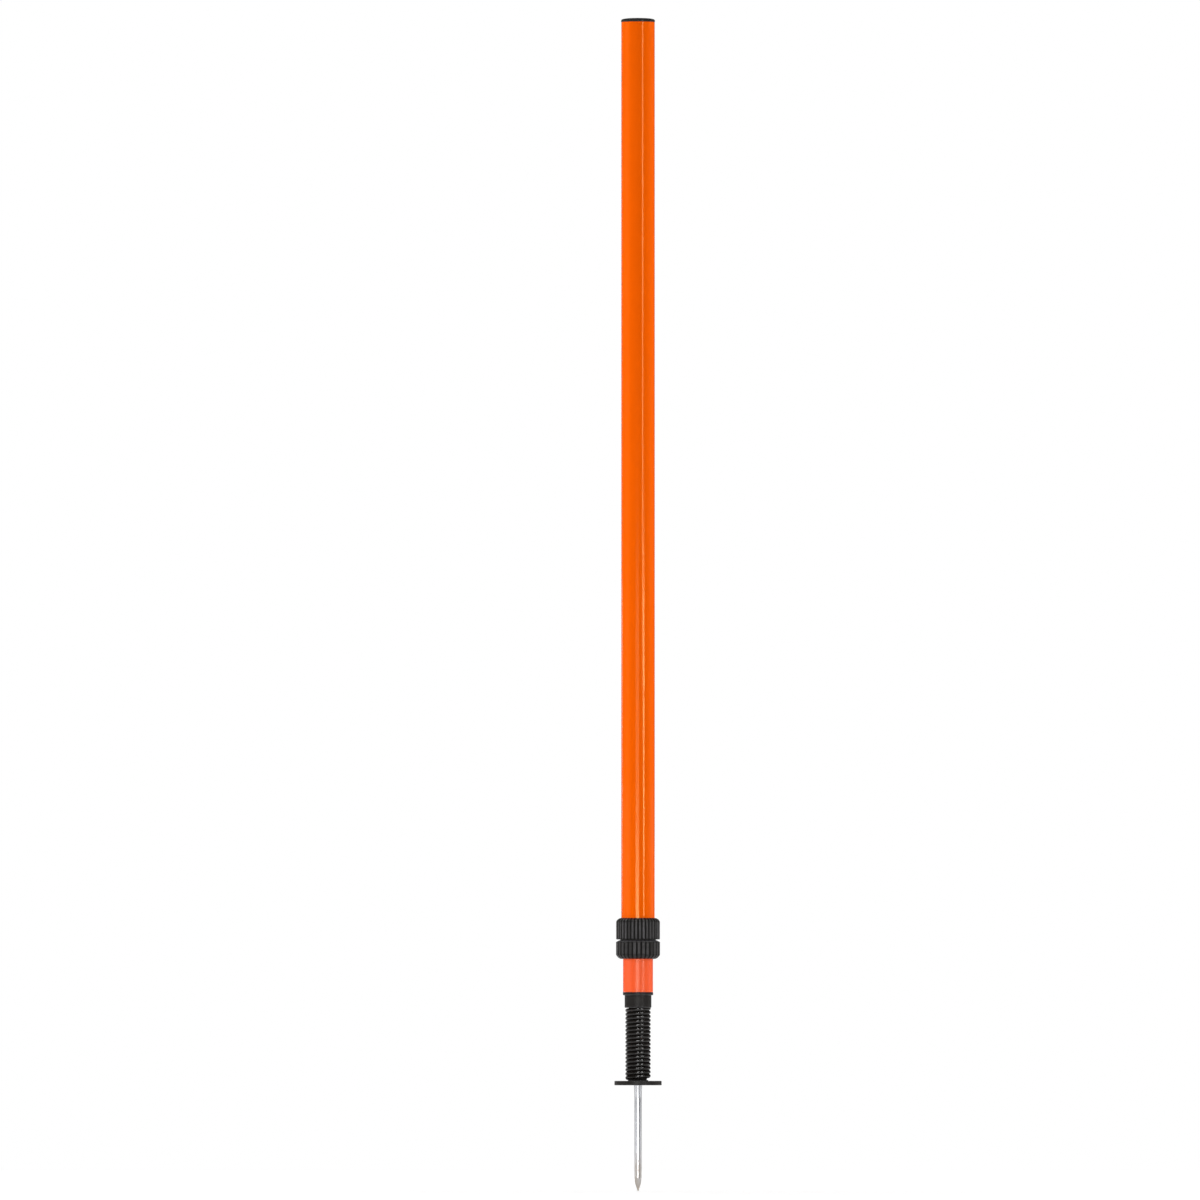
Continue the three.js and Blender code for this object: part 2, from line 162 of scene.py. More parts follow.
class SlalomPoleBase(bpy.types.PropertyGroup):
    """Sizes of the plug, the ground disc and the spike."""

    plug_diameter: length("Plug", "Diameter of the plug's body", 0.0256)
    flange_diameter: length("Flange", "Diameter of the plug's flange", 0.0289)
    flange_thickness: length("Flange thickness", "Thickness of the plug's flange", 0.0027)
    plug_body: length("Plug body", "Length of the plug's body under the flange", 0.012)
    plug_stub: length("Plug stub", "Length of the plug's stub in the spring", 0.012)
    disc_diameter: length("Disc", "Diameter of the ground disc", 0.0452)
    disc_thickness: length("Disc thickness", "Thickness of the ground disc", 0.0042)
    disc_edge: length("Disc edge", "Rounding of the ground disc's rim", 0.0006)
    hub_diameter: length("Hub", "Diameter of the shoulder under the spring", 0.0194)
    hub_height: length("Hub height", "Height of the shoulder under the spring", 0.0008)
    spike_diameter: length("Spike", "Diameter of the spike", 0.0068)
    flare_diameter: length("Flare", "Diameter of the spike under the disc", 0.0078)
    flare_length: length("Flare length", "Length over which the spike widens", 0.015)
    tip_length: length("Tip", "Length of the spike's point", 0.0095)
    shank_diameter: length("Shank", "Diameter of the threaded shank in the disc", 0.006)
    moulded_edge: length("Moulded edge", "Rounding of the small edges of moulded pieces", 0.0004)


class SlalomPoleColours(bpy.types.PropertyGroup):
    """Colours of the finishes."""

    upper_tube: colour("Upper tube", "Plastic of the upper tube", (0.93, 0.118, 0.0))
    lower_tube: colour("Lower tube", "Plastic of the lower tube", (0.96, 0.099, 0.0145))
    moulded: colour("Moulded plastic", "Black plastic of the clutch, plug and disc", (0.0135, 0.0118, 0.0105))
    # Also the painted highlight on the ribs' crests and lips, and the painted light on the nut's conical top
    rubbed: colour("Rubbed plastic", "Black plastic rubbed on ribs and edges", (0.108, 0.106, 0.111))
    cap: colour("Cap", "Plastic of the cap", (0.026, 0.0255, 0.0245))
    spring: colour("Spring", "Coating of the spring", (0.0058, 0.0048, 0.0039))
    zinc: colour("Zinc", "Plating of the spike, washer and nut", (0.74, 0.75, 0.78))
    stain: colour("Stain", "Zinc that the ground has stained, at the spike's tip", (0.5, 0.4, 0.3))
    # Blended in over the spike's top end, just under the disc, making it a darker grey
    dull: colour("Dull zinc", "Zinc that has dulled, at the spike's top end", (0.28, 0.28, 0.29))
    acetal: colour("Acetal", "Plastic of the parts inside the clutch and tube", (0.70, 0.67, 0.60))


class SlalomPoleStage(bpy.types.PropertyGroup):
    """Camera, lamps and floor."""

    camera_distance: length("Camera distance", "From the pole to the camera", 20.0)
    frame_width: length("Frame width", "Width of the picture at the pole", 1.1484)
    frame_centre: length("Frame centre", "Height of the picture's middle", 0.4644)
    pole_offset: length("Pole offset", "How far right of the picture's middle the pole stands", 0.0364)
    eye_height: length("Eye height", "Height of the camera", 0.02)
    floor_gap: length("Floor gap", "Between the spike's point and the floor", 0.0005)
    ambient: number("Ambient", "Light from all round", 0.5)


# Shapes


def rounded(corners, looped=True):
    """Rounds a profile's corners, given as radius, height and rounding, and gives rows of radius and height.

    A corner P, whose sides run off at unit vectors a and b with an angle of 2h between them, gives way to the
    arc from A = P + a t to B = P + b t, where t = rounding / tan h. The arc is the rational curve
    ((1-s)^2 A + 2s(1-s) w P + s^2 B) / ((1-s)^2 + 2s(1-s) w + s^2) for s from 0 to 1, with w = sin h.
    Each arc has one more row of points beyond either end. An open profile keeps its two ends.
    """
    corners = np.asarray(corners, float)
    corners, radius = corners[:, :2], corners[:, 2:]
    to_last = np.roll(corners, 1, axis=0) - corners
    to_next = np.roll(corners, -1, axis=0) - corners
    last_way = np.linalg.norm(to_last, axis=1)[:, None]
    next_way = np.linalg.norm(to_next, axis=1)[:, None]
    a = to_last / last_way
    b = to_next / next_way
    half = 0.5 * np.arccos(np.clip((a * b).sum(1), -1, 1))[:, None]
    reach = np.minimum(radius / np.tan(half), 0.45 * np.minimum(last_way, next_way))
    first = corners + a * reach
    last = corners + b * reach
    s = np.linspace(0, 1, ARC_STEPS + 1)[None, :, None]
    w = np.sin(half)[:, :, None]
    weights = (1 - s) ** 2 + 2 * s * (1 - s) * w + s**2
    arcs = (1 - s) ** 2 * first[:, None] + 2 * s * (1 - s) * w * corners[:, None] + s**2 * last[:, None]
    before = first + a * np.minimum(SUPPORT, 0.3 * (last_way - reach - np.roll(reach, 1)))
    beyond = last + b * np.minimum(SUPPORT, 0.3 * (next_way - reach - np.roll(reach, -1)))
    rows = np.concatenate([before[:, None], arcs / weights, beyond[:, None]], axis=1)
    if looped:
        return rows.reshape(-1, 2)
    return np.concatenate([corners[:1], rows[1:-1].reshape(-1, 2), corners[-1:]])


def quarter(centre, width, base, height, fullness, steps):
    """A quarter of a superellipse, |x / width|^n + |y / height|^n = 1 with n the fullness.

    It runs from (centre + width, base) on the side to (centre, base + height) on top.
    """
    along = np.linspace(0, np.pi / 2, steps + 1)
    across = np.abs(np.cos(along)) ** (2 / fullness)
    up = np.abs(np.sin(along)) ** (2 / fullness)
    return np.stack([centre + width * across, base + height * up], axis=1)


def refined(profile, longest):
    """Splits each side of a profile into equal steps no longer than longest."""
    sides = profile[1:] - profile[:-1]
    pieces = np.maximum(1, np.ceil(np.linalg.norm(sides, axis=1) / longest)).astype(int)
    side = np.repeat(np.arange(len(sides)), pieces)
    step = np.arange(len(side)) - np.repeat(np.cumsum(pieces) - pieces, pieces)
    rows = profile[side] + sides[side] * (step / pieces[side])[:, None]
    return np.concatenate([rows, profile[-1:]])


def walled(profile, radius, low, high, first, beyond, rows):
    """Puts an upright wall of evenly spread rows, from low to high, in place of rows first to beyond - 1."""
    wall = np.stack([np.full(rows, radius), np.linspace(low, high, rows)], axis=1)
    return np.concatenate([profile[:first], wall, profile[beyond:]])


def convexity(profile, full_radius=0.0009):
    """0 on flat and hollow stretches of a profile up to 1 on its rounded outer edges, row by row.

    It is the profile's turning to the left per length, times full_radius, kept within 0 and 1.
    """
    onward = np.roll(profile, -1, axis=0) - profile
    way = np.linalg.norm(onward, axis=1)
    heading = np.arctan2(onward[:, 1], onward[:, 0])
    bend = (heading - np.roll(heading, 1) + np.pi) % FULL_TURN - np.pi
    return np.clip(full_radius * bend / (0.5 * (way + np.roll(way, 1)) + 1e-9), 0, 1)


def round_about(sides):
    """Angles about the axis, from +X, evenly spread over one turn, as a row."""
    return (np.arange(sides) * FULL_TURN / sides)[None, :]


def turned_grid(radius, height, angle):
    """The points (r cos a, r sin a, z) for a grid of radii, of heights and of angles."""
    radius, height, angle = np.broadcast_arrays(radius, height, angle)
    return np.stack([radius * np.cos(angle), radius * np.sin(angle), height], axis=-1)


def surface(name, points, wear, looped=True, ends=None, chart=None):
    """Makes a closed mesh object of a grid of points, rows by columns by xyz.

    Columns go round and join up. Rows join up too where looped, and otherwise a fan closes each end, to its
    point in ends. wear, one value for each point, becomes an attribute. chart, rows by columns + 1 by 2,
    becomes a UV map.
    """
    rows, columns = points.shape[:2]
    ids = np.arange(rows * columns).reshape(rows, columns)
    low = ids if looped else ids[:-1]
    high = np.roll(ids, -1, axis=0) if looped else ids[1:]
    quads = np.stack([low, np.roll(low, -1, 1), np.roll(high, -1, 1), high], axis=-1).reshape(-1, 4)
    corners = points.reshape(-1, 3)
    values = np.broadcast_to(wear, (rows, columns)).reshape(-1)
    faces = quads.tolist()
    if not looped:
        start, end = ids[0], ids[-1]
        fans = np.concatenate([
            np.stack([np.full(columns, rows * columns), np.roll(start, -1), start], axis=-1),
            np.stack([np.full(columns, rows * columns + 1), end, np.roll(end, -1)], axis=-1),
        ])
        faces += fans.tolist()
        corners = np.concatenate([corners, ends])
        values = np.concatenate([values, [0.0, 0.0]])
    mesh = bpy.data.meshes.new(name)
    mesh.from_pydata(corners, [], faces)
    attribute = mesh.attributes.new("wear", "FLOAT", "POINT")
    attribute.data.foreach_set("value", values.astype(np.float32))
    if chart is not None:
        layer = mesh.uv_layers.new(name=WIRE_CHART)
        sheet = np.stack([chart[:-1, :-1], chart[:-1, 1:], chart[1:, 1:], chart[1:, :-1]], axis=2)
        first, last = chart[0], chart[-1]
        caps = np.concatenate([
            np.stack([first[:-1], first[1:], first[:-1]], axis=1).reshape(-1, 2),
            np.stack([last[:-1], last[:-1], last[1:]], axis=1).reshape(-1, 2),
        ])
        layer.data.foreach_set("uv", np.concatenate([sheet.reshape(-1, 2), caps]).astype(np.float32).ravel())
    mesh.validate()
    mesh.shade_smooth()
    mesh.set_sharp_from_angle(angle=SMOOTH_ANGLE)
    return added(name, mesh)


def turned(name, profile, sides=160, looped=True, rub=1.0, shape=None):
    """A piece turned about the pole's axis from a profile of radius and height, its outer side running up.

    shape changes its radii, from the radii, the heights and the angles. wear is rub times convexity.
    """
    rim = profile if looped else profile[1:-1]
    radius, height, angle = rim[:, :1], rim[:, 1:], round_about(sides)
    if shape is not None:
        radius = shape(radius, height, angle)
    ends = None if looped else [(0, 0, profile[0, 1]), (0, 0, profile[-1, 1])]
    return surface(name, turned_grid(radius, height, angle), rub * convexity(rim)[:, None], looped, ends)


def smooth_least(a, b, width):
    """The smaller of a and b, less width / 4 times the square of how nearly equal they are over the width."""
    near = np.clip(1 - np.abs(a - b) / width, 0, 1)
    return np.minimum(a, b) - 0.25 * width * near**2


def groove_depth(angle, ribs, radius, width, turned_by):
    """1 in the middle of each groove between the ribs down to 0 on the ribs.

    With u the way round from the nearest groove's middle, it is exp(-(2u / width)^3.2), and each groove is
    up to 6 in 100 shallower than the next by a sine of its number, as moulded ribs are.
    """
    groove = (angle + math.pi / 2 - turned_by) * ribs / FULL_TURN
    off = (groove - np.round(groove)) * FULL_TURN / ribs * radius
    share = 1 - 0.03 * (1 + np.sin(2.4 * np.round(groove)))
    return share * np.exp(-((np.abs(off) * 2 / width) ** 3.2))


def rib_tone(angle, ribs, turned_by):
    """Wear and painted highlight on each rib, from 0.3 to 1, by the sum of two sines of its number."""
    rib = np.floor((angle + math.pi / 2 - turned_by) * ribs / FULL_TURN)
    return 0.65 + 0.2 * np.sin(2.4 * rib + 1) + 0.15 * np.sin(5.3 * rib)


def ribbed_ring(name, profile, crest, ribs, turned_by, bottom, top, cone, rub, ridge=None):
    """A ring whose outside is grooved lengthwise between bottom and top.

    Its radius is the smooth least of the profile's own and of the ribs', which is the crest plus the lip's
    width, less the grooves' depth and that width times groove_depth. ridge adds a screw thread to it. What
    lies above the height cone gets painted light, as it lies in the shadow of the ring above it, down to
    half as much in the grooves. Below it, wear is rub times rib_tone on the crests and 0.15 on the grooves'
    lips, for wear and painted highlight together, both less on the rounded edges, and falls to -0.5 in the
    grooves and -0.4 on those edges, as painted shade.
    """
    sizes = bpy.context.scene.slalom_pole_clutch
    radius, height = profile[:, :1], profile[:, 1:]
    angle = round_about(ribs * RIB_COLUMNS)
    deep = groove_depth(angle, ribs, crest, sizes.groove_width, turned_by)
    ribbed = crest + sizes.lip - (sizes.rib_depth + sizes.lip) * deep
    grooved_zone = 0.0052  # from the crest inwards
    outer = (height > bottom) & (height < top) & (radius > crest - grooved_zone)
    plain = radius + 0 * angle
    shaped = np.where(outer, smooth_least(plain, ribbed, sizes.lip), plain)
    if ridge is not None:
        shaped = shaped + ridge(radius, height, angle)
    edge = convexity(profile)[:, None]
    lip = 0.14  # how deep in its groove a lip lies, as a share of the groove's depth
    lips = np.clip(1 - np.abs(deep - lip) / lip, 0, 1)
    # Crests and the grooves' lips are lighter, for wear and painted highlight together
    crests = (1 - deep) * rib_tone(angle, ribs, turned_by)
    # In the grooves and on the rounded edges the value goes below 0, as painted shade
    ribs_wear_and_painted_light = (rub * crests + 0.15 * lips) * (1 - 0.75 * edge) - 0.5 * deep - 0.4 * edge
    worn = np.where(outer, np.clip(ribs_wear_and_painted_light, -0.5, 1), edge)
    # Painted light on the nut's conical top, which lies in the shadow of the ring above it
    worn = np.where(outer & (height > cone), 0.95 - 0.5 * deep, worn)
    return surface(name, turned_grid(shaped, height, angle), worn)


def thread_ridge(height, angle, pitch):
    """A right-handed thread's ridge, from 0 between the turns to 1 on top.

    With f the fraction of a turn at height / pitch - angle / full turn, it is (|2f - 1| - 0.3) / 0.45,
    kept within 0 and 1.
    """
    fraction = (height / pitch - angle / FULL_TURN) % 1.0
    return np.clip((np.abs(2 * fraction - 1) - 0.3) / 0.45, 0, 1)


def coil_radius():
    """Radius of the coil, R, to the middle of the spring's wire."""
    sizes = bpy.context.scene.slalom_pole_spring
    return (sizes.diameter - sizes.wire) / 2


def wire_frame(turns):
    """The middle of the spring's wire after t turns, and the ways inwards and up that span its section.

    The middle is R (cos a, sin a) at height z0 + pitch t, with a = a0 + full turn t. Up is square to the way
    inwards and to the wire.
    """
    sizes, coil = bpy.context.scene.slalom_pole_spring, coil_radius()
    angle = sizes.start_angle + FULL_TURN * turns
    height = sizes.start + sizes.pitch * turns
    rise = sizes.pitch / FULL_TURN + 0 * angle
    middle = np.stack([coil * np.cos(angle), coil * np.sin(angle), height], axis=-1)
    inward = np.stack([-np.cos(angle), -np.sin(angle), 0 * angle], axis=-1)
    onward = np.stack([-coil * np.sin(angle), coil * np.cos(angle), rise], axis=-1)
    onward /= np.linalg.norm(onward, axis=1)[:, None]
    return middle, inward, np.cross(onward, inward)


def wire_piece(name, first, last, span, free_start=False, free_end=False):
    """A stretch of the spring's wire from one turn count to another, as a closed piece.

    Each section is a circle about the wire's middle, in the plane of the two ways of wire_frame, so the UV
    map's seam lies towards the axis. A free end is rounded by a quarter circle: at d = bevel (1 - cos p) from
    the end the section's radius is less by bevel (1 - sin p). The wire is ground flat where it would pass the
    two heights in span. One turn is as long as the root of (full turn times R) squared plus pitch squared.
    wear rises to 0.55 on the outside of the coil.
    """
    sizes = bpy.context.scene.slalom_pole_spring
    per_turn, sides = 72, 20  # faces along a turn and round the wire
    bevel = 0.0004  # the rounding of a free end
    wire = sizes.wire / 2  # its radius
    one_turn = math.hypot(FULL_TURN * coil_radius(), sizes.pitch)
    swing = np.linspace(0, np.pi / 2, ARC_STEPS + 1)
    edge = bevel * (1 - np.cos(swing)) / one_turn
    thin = wire - bevel * (1 - np.sin(swing))
    begin = first + bevel / one_turn * free_start
    finish = last - bevel / one_turn * free_end
    middle = np.linspace(begin, finish, int((last - first) * per_turn))
    turns = np.concatenate([first + edge[:-1] * free_start, middle, (last - edge * free_end)[::-1][1:]])
    starting = np.where(free_start, thin[:-1], wire)
    ending = np.where(free_end, thin[::-1][1:], wire)
    thickness = np.concatenate([starting, np.full(len(middle), wire), ending])
    keep = np.concatenate([[True], np.diff(turns) > 1e-9])
    turns, thickness = turns[keep], thickness[keep]
    centre, inward, upward = wire_frame(turns)
    about = round_about(sides)[..., None]
    ring = inward[:, None] * np.cos(about) + upward[:, None] * np.sin(about)
    points = centre[:, None] + thickness[:, None, None] * ring
    centre[:, 2] = np.clip(centre[:, 2], *span)
    points[..., 2] = np.clip(points[..., 2], *span)
    across = np.linspace(0, FULL_TURN * wire, sides + 1)
    chart = np.stack(np.broadcast_arrays(across[None, :], (turns * one_turn)[:, None]), axis=-1)
    outside = 0.5 - 0.5 * (ring * inward[:, None]).sum(-1)
    worn = np.clip(outside - 0.45, 0, 1)
    return surface(name, points, worn, looped=False, ends=centre[[0, -1]], chart=chart)


def stub_radius(radius, height, angle, beside_spring):
    """Radii of a moulded piece whose stub, where it stands beside the spring, is hollowed to take the wire.

    With dz the height above the nearest turn's middle at that angle and w the wire's radius and clearance, it
    is the lesser of radius and R - square root of (w^2 - dz^2).
    """
    sizes = bpy.context.scene.slalom_pole_spring
    hollow = sizes.wire / 2 + sizes.seat
    turns = (height - sizes.start) / sizes.pitch - (angle - sizes.start_angle) / FULL_TURN
    off = (turns - np.round(turns)) * sizes.pitch
    hollowed = np.minimum(radius, coil_radius() - np.sqrt(np.maximum(hollow**2 - off**2, 0)))
    on_stub = (radius > sizes.stub - 0.001) & (radius < sizes.stub + 0.00001)
    return np.where(on_stub & beside_spring, hollowed, radius)


# Materials


def place(tree, kind, inputs=None, **settings):
    """Adds a node, with its settings, and fills its inputs with values or with other nodes' outputs."""
    made = tree.nodes.new(kind)
    for key, value in settings.items():
        setattr(made, key, value)
    for key, value in (inputs or {}).items():
        if isinstance(value, bpy.types.NodeSocket):
            tree.links.new(value, made.inputs[key])
        else:
            made.inputs[key].default_value = value
    return made


def reckoned(tree, operation, *values, clamped=False):
    """The result of a Math node."""
    inputs = dict(enumerate(values))
    return place(tree, "ShaderNodeMath", inputs, operation=operation, use_clamp=clamped).outputs[0]


def noise(tree, vector, scale, detail, roughness=0.5):
    """A noise over the vector, which varies from about 0.3 to 0.7."""
    inputs = {"Vector": vector, "Scale": scale, "Detail": detail, "Roughness": roughness}
    return place(tree, "ShaderNodeTexNoise", inputs).outputs["Fac"]


def ranged(tree, value, low, high, start=0.3, end=0.7, **settings):
    """The value spread from low, where it is start, to high, where it is end, as a noise's are by default."""
    inputs = {"Value": value, "From Min": start, "From Max": end, "To Min": low, "To Max": high}
    return place(tree, "ShaderNodeMapRange", inputs, **settings).outputs[0]


def blended(tree, share, first, second):
    """A colour between first and second by share."""
    return place(tree, "ShaderNodeMix", {0: share, 6: first, 7: second}, data_type="RGBA").outputs[2]


def toned(tint, factor=1.0):
    """The colour tint times factor, with its alpha."""
    return (*(min(1.0, part * factor) for part in tint), 1.0)


def tinted(tree, value, tint, dark, light):
    """The colour tint, made darker or lighter by a noise."""
    return blended(tree, ranged(tree, value, 0.0, 1.0), toned(tint, dark), toned(tint, light))


def moulded_grain(tree, at, given):
    """Fine pits of a spark-eroded mould, and the cloudy sheen between them."""
    pits = place(tree, "ShaderNodeTexVoronoi", {"Vector": at, "Scale": given["Grain"]}, feature="SMOOTH_F1")
    fine = noise(tree, at, given["Grain"], detail=3.0)
    sheen = noise(tree, at, given["Cloud"], detail=4.0)
    return reckoned(tree, "MULTIPLY", pits.outputs["Distance"], fine), sheen


def long_streaks(tree, at, given):
    """Fine and broad streaks drawn out along the vector's Z, as extrusion and wire drawing leave them."""
    scale = {0: given["Across"], 1: given["Across"], 2: given["Along"]}
    scale = place(tree, "ShaderNodeCombineXYZ", scale).outputs[0]
    drawn = place(tree, "ShaderNodeVectorMath", {0: at, 1: scale}, operation="MULTIPLY").outputs[0]
    fine = noise(tree, drawn, scale=1.0, detail=5.0, roughness=0.6)
    return fine, noise(tree, drawn, scale=0.16, detail=3.0)


def rubbed_edges(tree, at, given):
    """Wear on the mask's bright places, broken up by noise."""
    kept = ranged(tree, noise(tree, at, given["Scale"], detail=5.0), 0.55, 1.0)
    return (reckoned(tree, "MULTIPLY", given["Mask"], kept, clamped=True),)


# What builds each shared effect's node group, its inputs' defaults and its outputs
EFFECTS = {
    "Moulded Grain": (moulded_grain, {"Grain": 2400.0, "Cloud": 70.0}, ("Height", "Sheen")),
    "Long Streaks": (long_streaks, {"Across": 900.0, "Along": 6.0}, ("Height", "Tone")),
    "Rubbed Edges": (rubbed_edges, {"Mask": 0.0, "Scale": 350.0}, ("Wear",)),
}


def new_effect(name):
    """Builds a shared effect's node group, with the input Vector and its other named inputs and outputs."""
    build, defaults, labels = EFFECTS[name]
    group = bpy.data.node_groups.new(name, "ShaderNodeTree")
    group.interface.new_socket("Vector", in_out="INPUT", socket_type="NodeSocketVector")
    for label, default in defaults.items():
        socket = group.interface.new_socket(label, in_out="INPUT", socket_type="NodeSocketFloat")
        socket.default_value = default
    for label in labels:
        group.interface.new_socket(label, in_out="OUTPUT", socket_type="NodeSocketFloat")
    given = group.nodes.new("NodeGroupInput").outputs
    results = build(group, given["Vector"], given)
    place(group, "NodeGroupOutput", dict(zip(labels, results)))
    return group


def effect(tree, name, at, **values):
    """Places a shared effect in a material's tree, and gives its outputs."""
    group = bpy.data.node_groups.get(name) or new_effect(name)
    return place(tree, "ShaderNodeGroup", {"Vector": at, **values}, node_tree=group).outputs


def finish(name, **constants):
    """A new material, its tree and its Object coordinates. constants go on its Principled BSDF's sockets."""
    made = bpy.data.materials.new(name)
    made.use_nodes = True
    tree = made.node_tree
    for key, value in constants.items():
        tree.nodes["Principled BSDF"].inputs[key.replace("_", " ")].default_value = value
    return made, tree, place(tree, "ShaderNodeTexCoord").outputs["Object"]


def fed(made, shade, roughness, height, strength, depth):
    """Feeds the material's shader its colour, its roughness and a bump that is up to depth metres high."""
    tree = made.node_tree
    bump = place(tree, "ShaderNodeBump", {"Height": height, "Strength": strength, "Distance": depth})
    for label, value in (("Base Color", shade), ("Roughness", roughness), ("Normal", bump.outputs[0])):
        tree.links.new(value, tree.nodes["Principled BSDF"].inputs[label])
    return made


def emptied(owner):
    """The tree of a material or a world, emptied but for a Light Path node, and that node's outputs."""
    owner.use_nodes = True
    owner.node_tree.nodes.clear()
    return owner.node_tree, place(owner.node_tree, "ShaderNodeLightPath").outputs


def wear_and_painted_light_mask(tree):
    """The wear attribute: 1 where most rubbed or given painted highlight, below 0 where shade is painted."""
    return place(tree, "ShaderNodeAttribute", attribute_name="wear").outputs["Fac"]


def tube_plastic(name, tint):
    """Extruded plastic: faint lengthwise streaks, a slow drift of tone, and a satin gloss."""
    made, tree, at = finish(name, Specular_IOR_Level=0.3, Specular_Tint=(1.0, 0.75, 0.32, 1.0))
    streaks = effect(tree, "Long Streaks", at, Across=700.0, Along=4.0)
    cloud = effect(tree, "Moulded Grain", at, Grain=3000.0, Cloud=9.0)
    shade = tinted(tree, streaks["Tone"], tint, 0.975, 1.02)
    roughness = ranged(tree, cloud["Sheen"], 0.1, 0.14)
    return fed(made, shade, roughness, streaks["Height"], strength=0.06, depth=0.00004)


def sliding_tube_plastic(name, tint):
    """Extruded plastic with faint rings where the clutch has slid and turned on it."""
    made, tree, at = finish(name, Specular_IOR_Level=0.5, Specular_Tint=(1.0, 0.8, 0.65, 1.0))
    streaks = effect(tree, "Long Streaks", at, Across=700.0, Along=4.0)
    rings = effect(tree, "Long Streaks", at, Across=25.0, Along=2600.0)
    shade = tinted(tree, rings["Height"], tint, 0.97, 1.03)
    roughness = ranged(tree, rings["Height"], 0.27, 0.33)
    return fed(made, shade, roughness, streaks["Height"], strength=0.06, depth=0.00004)


def moulded_plastic(name, tint, rubbed, roughness, grain):
    """Moulded black plastic: grained, lighter and smoother where rubbed or given painted highlight,
    and rougher and darker, as painted shade, where the wear attribute is below 0.
    """
    made, tree, at = finish(name, Specular_IOR_Level=0.18)
    mask = wear_and_painted_light_mask(tree)
    mould = effect(tree, "Moulded Grain", at, Grain=grain, Cloud=80.0)
    wear = effect(tree, "Rubbed Edges", at, Mask=mask, Scale=420.0)["Wear"]
    # Where the mask is below 0: painted shade, the colour darkened towards 0.15 of the tint, and rougher
    painted_shade = reckoned(tree, "MULTIPLY", mask, -2.0, clamped=True)
    tint_with_painted_shade = blended(tree, painted_shade, tinted(tree, mould["Sheen"], tint, 0.85, 1.2), toned(tint, 0.15))
    # Lighter towards the rubbed colour for wear, and on the ribs' crests also for painted highlight
    shade = blended(tree, wear, tint_with_painted_shade, toned(rubbed))
    grained = ranged(tree, mould["Sheen"], roughness - 0.05, roughness + 0.06)
    dull = reckoned(tree, "MULTIPLY_ADD", painted_shade, 0.4, grained)
    smoother = reckoned(tree, "MULTIPLY_ADD", wear, -0.1, dull)
    return fed(made, shade, smoother, mould["Height"], strength=0.25, depth=0.00008)


def cap_gloss(name, tint):
    """Polished moulded plastic with faint smears."""
    made, tree, at = finish(name, Specular_IOR_Level=0.3)
    mould = effect(tree, "Moulded Grain", at, Grain=2600.0, Cloud=130.0)
    shade = tinted(tree, mould["Sheen"], tint, 0.8, 1.3)
    roughness = ranged(tree, mould["Sheen"], 0.22, 0.32)
    return fed(made, shade, roughness, mould["Height"], strength=0.06, depth=0.00005)


def coated_wire(name, tint):
    """Black coated spring wire: drawing lines along it, worn a little on the outside of the coils."""
    made, tree, at = finish(name, Specular_IOR_Level=0.5)
    chart = place(tree, "ShaderNodeUVMap", uv_map=WIRE_CHART).outputs["UV"]
    parts = place(tree, "ShaderNodeSeparateXYZ", {0: chart}).outputs
    along = place(tree, "ShaderNodeCombineXYZ", {0: parts["X"], 2: parts["Y"]}).outputs[0]
    drawn = effect(tree, "Long Streaks", along, Across=2600.0, Along=60.0)
    coat = effect(tree, "Moulded Grain", at, Grain=1700.0, Cloud=120.0)
    wear = effect(tree, "Rubbed Edges", at, Mask=wear_and_painted_light_mask(tree), Scale=700.0)["Wear"]
    shade = blended(tree, wear, tinted(tree, drawn["Tone"], tint, 0.75, 1.3), toned(tint, 1.7))
    roughness = ranged(tree, coat["Sheen"], 0.17, 0.23)
    height = reckoned(tree, "MULTIPLY_ADD", drawn["Height"], 0.6, coat["Height"])
    return fed(made, shade, roughness, height, strength=0.1, depth=0.00005)


def zinc_plate(name, tint, stain, dull):
    """Bright zinc on drawn steel: lengthwise lines, clouds, a tip that the ground stained, a darker top end.
    """
    made, tree, at = finish(name, Metallic=1.0)
    drawn = effect(tree, "Long Streaks", at, Across=2400.0, Along=7.0)
    cloud = effect(tree, "Moulded Grain", at, Grain=2000.0, Cloud=110.0)
    height = place(tree, "ShaderNodeSeparateXYZ", {0: at}).outputs["Z"]
    near_tip = ranged(tree, height, low=1.5, high=0.0, start=-0.1, end=-0.06)
    near_top = ranged(tree, height, low=0.0, high=0.5, start=-0.022, end=-0.004)
    cloudy = reckoned(tree, "MULTIPLY", near_tip, cloud["Sheen"], clamped=True)
    stained = blended(tree, cloudy, tinted(tree, drawn["Tone"], tint, 0.93, 1.06), toned(stain))
    shade = blended(tree, near_top, stained, toned(dull))
    roughness = ranged(tree, cloud["Sheen"], 0.12, 0.17)
    return fed(made, shade, roughness, drawn["Height"], strength=0.02, depth=0.00002)


def pale_acetal(name, tint):
    """Turned and moulded acetal: waxy, with faint lengthwise marks."""
    made, tree, at = finish(name, Specular_IOR_Level=0.4)
    mould = effect(tree, "Moulded Grain", at, Grain=1500.0, Cloud=90.0)
    marks = effect(tree, "Long Streaks", at, Across=60.0, Along=2400.0)
    shade = tinted(tree, mould["Sheen"], tint, 0.93, 1.05)
    roughness = ranged(tree, marks["Height"], 0.38, 0.52)
    return fed(made, shade, roughness, marks["Height"], strength=0.1, depth=0.00004)


